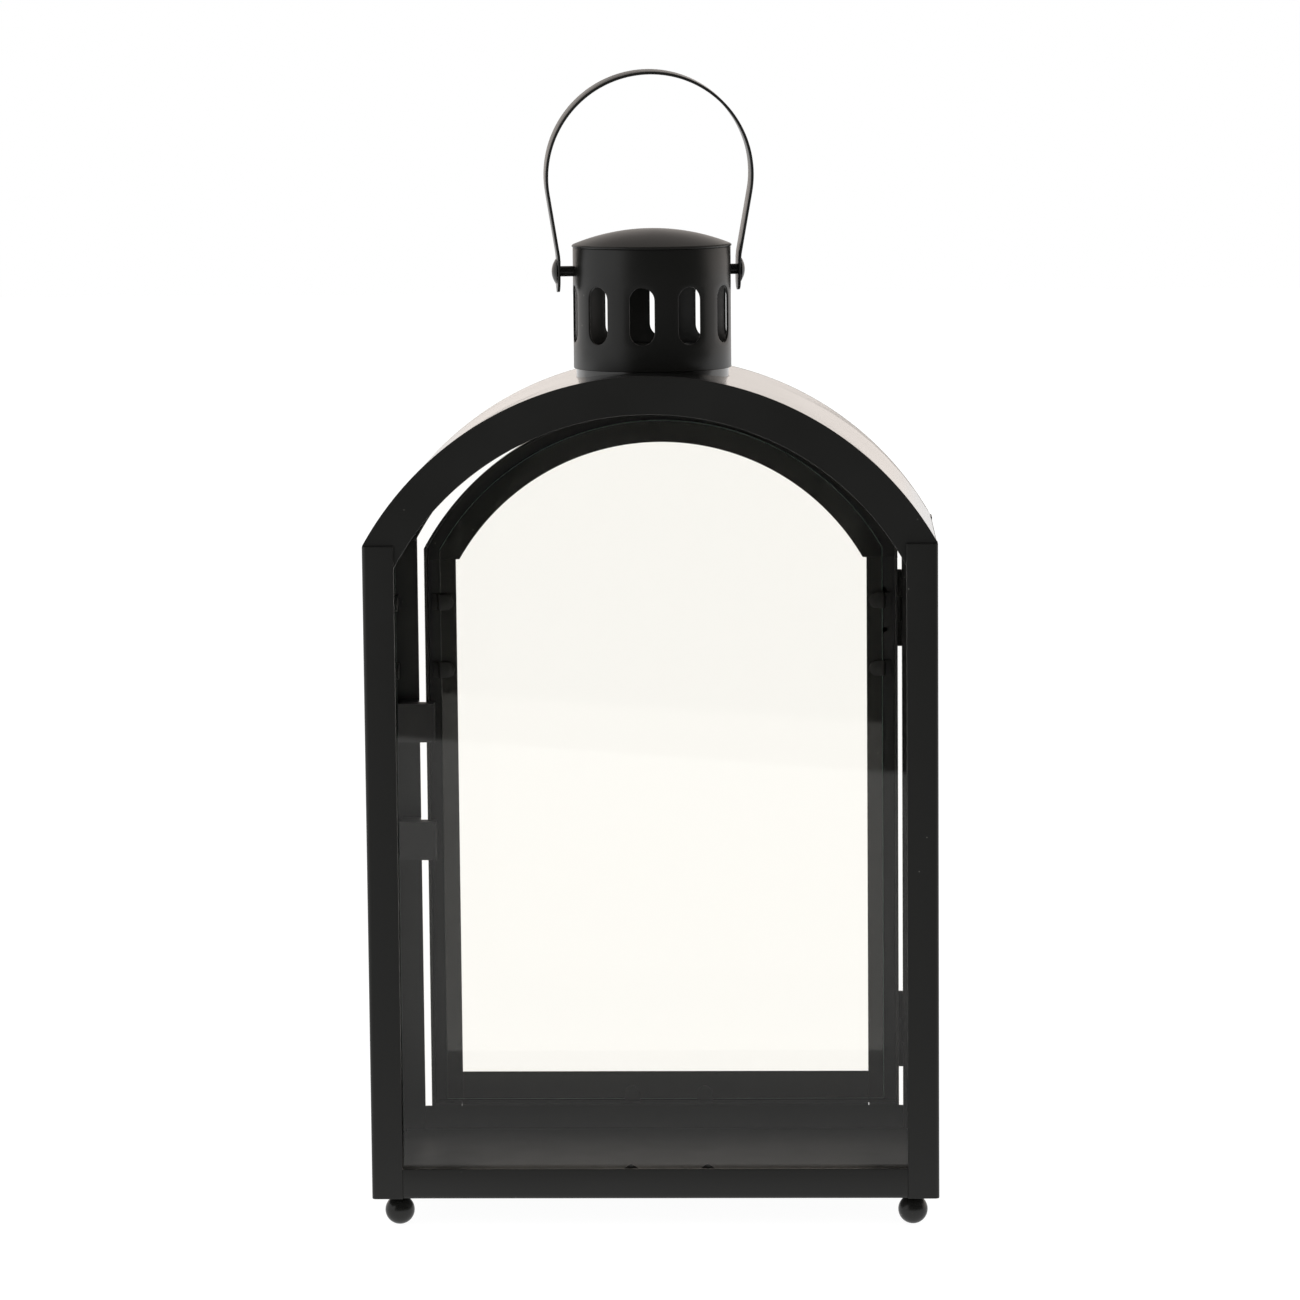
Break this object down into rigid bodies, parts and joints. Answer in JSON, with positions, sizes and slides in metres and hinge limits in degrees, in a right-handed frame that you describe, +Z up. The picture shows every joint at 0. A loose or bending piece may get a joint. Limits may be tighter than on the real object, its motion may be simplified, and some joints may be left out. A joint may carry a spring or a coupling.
{
  "type": "candle lantern",
  "caption": "Glazed box lantern with an arched door on hinges, a barrel roof, a slotted chimney and a swinging strip handle.",
  "frame": {"origin": "on the ground under the middle of the box frame", "axes": "+Z up, -Y the fixed glazed front, +Y the back with the door, +X the door's hinge side"},
  "size_m": [0.2, 0.1094, 0.4056],
  "materials": {
    "black_paint": "satin black paint on sheet steel",
    "clear_glass": "clear float glass",
    "pin_steel": "painted steel wire",
    "catch_black": "matt black catch housing"
  },
  "bodies": {
    "frame": {"arch_front": "black_paint", "arch_rear": "black_paint", "base_plate": "black_paint", "catch_lower": "catch_black", "catch_upper": "catch_black", "chimney": "black_paint", "chimney_cap": "black_paint", "collar": "black_paint", "eave_left": "black_paint", "eave_right": "black_paint", "foot_front_left": "black_paint", "foot_front_right": "black_paint", "foot_rear_left": "black_paint", "foot_rear_right": "black_paint", "glass_front": "clear_glass", "glass_left": "clear_glass", "glass_right": "clear_glass", "handle_rivet_left": "black_paint", "handle_rivet_right": "black_paint", "hinge_leaf_frame_lower": "black_paint", "hinge_leaf_frame_upper": "black_paint", "hinge_pin_lower": "pin_steel", "hinge_pin_upper": "pin_steel", "hinge_rivets_frame": "black_paint", "post_front_left": "black_paint", "post_front_right": "black_paint", "post_rear_left": "black_paint", "post_rear_right": "black_paint", "rail_front": "black_paint", "rail_left": "black_paint", "rail_rear": "black_paint", "rail_right": "black_paint", "roof": "black_paint", "tabs_front": "black_paint", "tabs_left": "black_paint", "tabs_right": "black_paint"},
    "door": {"door_arch": "black_paint", "door_knob": "black_paint", "door_rail": "black_paint", "door_stile_hinge": "black_paint", "door_stile_latch": "black_paint", "glass_door": "clear_glass", "hinge_leaf_door_lower": "black_paint", "hinge_leaf_door_upper": "black_paint", "hinge_rivets_door": "black_paint", "tabs_door": "black_paint"},
    "handle": {"handle": "black_paint"}
  },
  "joints": [
    {"name": "door_swing", "type": "hinge", "parent": "frame", "child": "door", "pos_m": [0.0882, 0.05415, 0.13], "axis": [0, 0, -1], "range_deg": [0, 170]},
    {"name": "handle_swing", "type": "hinge", "parent": "frame", "child": "handle", "pos_m": [0, 0, 0.3347], "axis": [0.9903, 0.1392, 0], "range_deg": [-120, 108]}
  ]
}
